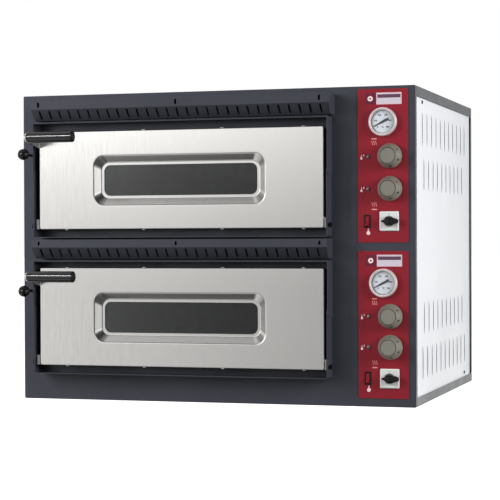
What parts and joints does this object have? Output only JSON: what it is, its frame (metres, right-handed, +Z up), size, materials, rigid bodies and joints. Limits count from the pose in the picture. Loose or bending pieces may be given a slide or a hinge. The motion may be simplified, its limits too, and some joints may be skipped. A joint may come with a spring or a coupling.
{
  "type": "countertop pizza oven",
  "caption": "Electric deck oven for pizza: stacked baking chambers with drop-down glazed doors, steam hoods, vent pulls and a control column",
  "frame": {"origin": "under the middle of the whole object's box, handles and cable gland included, on the surface that it stands on", "axes": "+X to the operator's right, +Y from the doors to the rear, +Z up"},
  "size_m": [0.983, 0.9204, 0.745],
  "materials": {
    "slate_paint": "satin anthracite paint",
    "cover_paint": "satin grey paint",
    "white_paint": "satin white paint",
    "red_paint": "printed dark red sheet",
    "brushed_stainless": "brushed upright",
    "bright_steel": "polished",
    "galvanised_steel": "dull aluminised sheet",
    "element_steel": "dark heat-tinted sheath",
    "refractory_stone": "rough fired stone",
    "mineral_wool": "loose fibre",
    "oven_glass": "clear heat-resistant glass",
    "clear_glass": "clear",
    "black_plastic": "gloss black",
    "knob_plastic": "satin grey-olive",
    "plate_plastic": "light grey",
    "red_plastic": "translucent red"
  },
  "bodies": {
    "casing": {"front_panel": "slate_paint", "top_cover": "cover_paint", "base_tray": "cover_paint", "rear_panel": "cover_paint", "left_side_panel": "white_paint", "right_side_panel": "white_paint", "cable_gland": "black_plastic", "insulation_blanket": "mineral_wool", "hood_upper": "slate_paint", "door_surround_upper": "slate_paint", "control_panel_upper": "red_paint", "chamber_liner_upper": "galvanised_steel", "stone_floor_upper": "refractory_stone", "top_element_upper": "element_steel", "bottom_element_upper": "element_steel", "thermometer_case_upper": "bright_steel", "thermometer_glass_upper": "clear_glass", "switch_body_upper": "plate_plastic", "rocker_housing_upper": "black_plastic", "hood_lower": "slate_paint", "door_surround_lower": "slate_paint", "control_panel_lower": "red_paint", "chamber_liner_lower": "galvanised_steel", "stone_floor_lower": "refractory_stone", "top_element_lower": "element_steel", "bottom_element_lower": "element_steel", "thermometer_case_lower": "bright_steel", "thermometer_glass_lower": "clear_glass", "switch_body_lower": "plate_plastic", "rocker_housing_lower": "black_plastic"},
    "door_upper": {"door_skin_upper": "brushed_stainless", "door_frame_upper": "slate_paint", "door_inner_panel_upper": "galvanised_steel", "door_glass_upper": "oven_glass", "handle_arm_upper": "bright_steel", "handle_grip_upper": "black_plastic", "hinge_left_upper": "bright_steel", "hinge_right_upper": "bright_steel"},
    "vent_pull_upper": {"vent_knob_upper": "black_plastic", "vent_rod_upper": "bright_steel"},
    "top_heat_knob_upper": {"top_heat_knob_upper": "knob_plastic"},
    "base_heat_knob_upper": {"base_heat_knob_upper": "knob_plastic"},
    "thermometer_needle_upper": {"thermometer_needle_upper": "black_plastic"},
    "switch_handle_upper": {"switch_handle_upper": "black_plastic"},
    "rocker_upper": {"rocker_upper": "red_plastic"},
    "door_lower": {"door_skin_lower": "brushed_stainless", "door_frame_lower": "slate_paint", "door_inner_panel_lower": "galvanised_steel", "door_glass_lower": "oven_glass", "handle_arm_lower": "bright_steel", "handle_grip_lower": "black_plastic", "hinge_left_lower": "bright_steel", "hinge_right_lower": "bright_steel"},
    "vent_pull_lower": {"vent_knob_lower": "black_plastic", "vent_rod_lower": "bright_steel"},
    "top_heat_knob_lower": {"top_heat_knob_lower": "knob_plastic"},
    "base_heat_knob_lower": {"base_heat_knob_lower": "knob_plastic"},
    "thermometer_needle_lower": {"thermometer_needle_lower": "black_plastic"},
    "switch_handle_lower": {"switch_handle_lower": "black_plastic"},
    "rocker_lower": {"rocker_lower": "red_plastic"}
  },
  "joints": [
    {"name": "door_hinge_upper", "type": "hinge", "parent": "casing", "child": "door_upper", "pos_m": [-0.074, -0.36975, 0.4235], "axis": [1, 0, 0], "range_deg": [0, 90]},
    {"name": "vent_slide_upper", "type": "slide", "parent": "casing", "child": "vent_pull_upper", "axis": [0, -1, 0], "range_m": [0, 0.04]},
    {"name": "top_heat_turn_upper", "type": "hinge", "parent": "casing", "child": "top_heat_knob_upper", "pos_m": [0.4322, -0.33855, 0.582], "axis": [0, 1, 0], "range_deg": [0, 300]},
    {"name": "base_heat_turn_upper", "type": "hinge", "parent": "casing", "child": "base_heat_knob_upper", "pos_m": [0.4322, -0.33855, 0.5065], "axis": [0, 1, 0], "range_deg": [0, 300]},
    {"name": "needle_turn_upper", "type": "hinge", "parent": "casing", "child": "thermometer_needle_upper", "pos_m": [0.4159, -0.33855, 0.6612], "axis": [0, 1, 0], "range_deg": [0, 252], "stiffness_Nm_per_rad": 0.0005},
    {"name": "switch_turn_upper", "type": "hinge", "parent": "casing", "child": "switch_handle_upper", "pos_m": [0.4297, -0.33855, 0.431], "axis": [0, 1, 0], "range_deg": [-90, 0]},
    {"name": "rocker_tilt_upper", "type": "hinge", "parent": "casing", "child": "rocker_upper", "pos_m": [0.378, -0.33855, 0.431], "axis": [1, 0, 0], "range_deg": [-18.4, 0]},
    {"name": "door_hinge_lower", "type": "hinge", "parent": "casing", "child": "door_lower", "pos_m": [-0.074, -0.36975, 0.0935], "axis": [1, 0, 0], "range_deg": [0, 90]},
    {"name": "vent_slide_lower", "type": "slide", "parent": "casing", "child": "vent_pull_lower", "axis": [0, -1, 0], "range_m": [0, 0.04]},
    {"name": "top_heat_turn_lower", "type": "hinge", "parent": "casing", "child": "top_heat_knob_lower", "pos_m": [0.4322, -0.33855, 0.211], "axis": [0, 1, 0], "range_deg": [0, 300]},
    {"name": "base_heat_turn_lower", "type": "hinge", "parent": "casing", "child": "base_heat_knob_lower", "pos_m": [0.4322, -0.33855, 0.1393], "axis": [0, 1, 0], "range_deg": [0, 300]},
    {"name": "needle_turn_lower", "type": "hinge", "parent": "casing", "child": "thermometer_needle_lower", "pos_m": [0.4159, -0.33855, 0.288], "axis": [0, 1, 0], "range_deg": [0, 252], "stiffness_Nm_per_rad": 0.0005},
    {"name": "switch_turn_lower", "type": "hinge", "parent": "casing", "child": "switch_handle_lower", "pos_m": [0.4297, -0.33855, 0.0665], "axis": [0, 1, 0], "range_deg": [-90, 0]},
    {"name": "rocker_tilt_lower", "type": "hinge", "parent": "casing", "child": "rocker_lower", "pos_m": [0.378, -0.33855, 0.0665], "axis": [1, 0, 0], "range_deg": [-18.4, 0]}
  ]
}
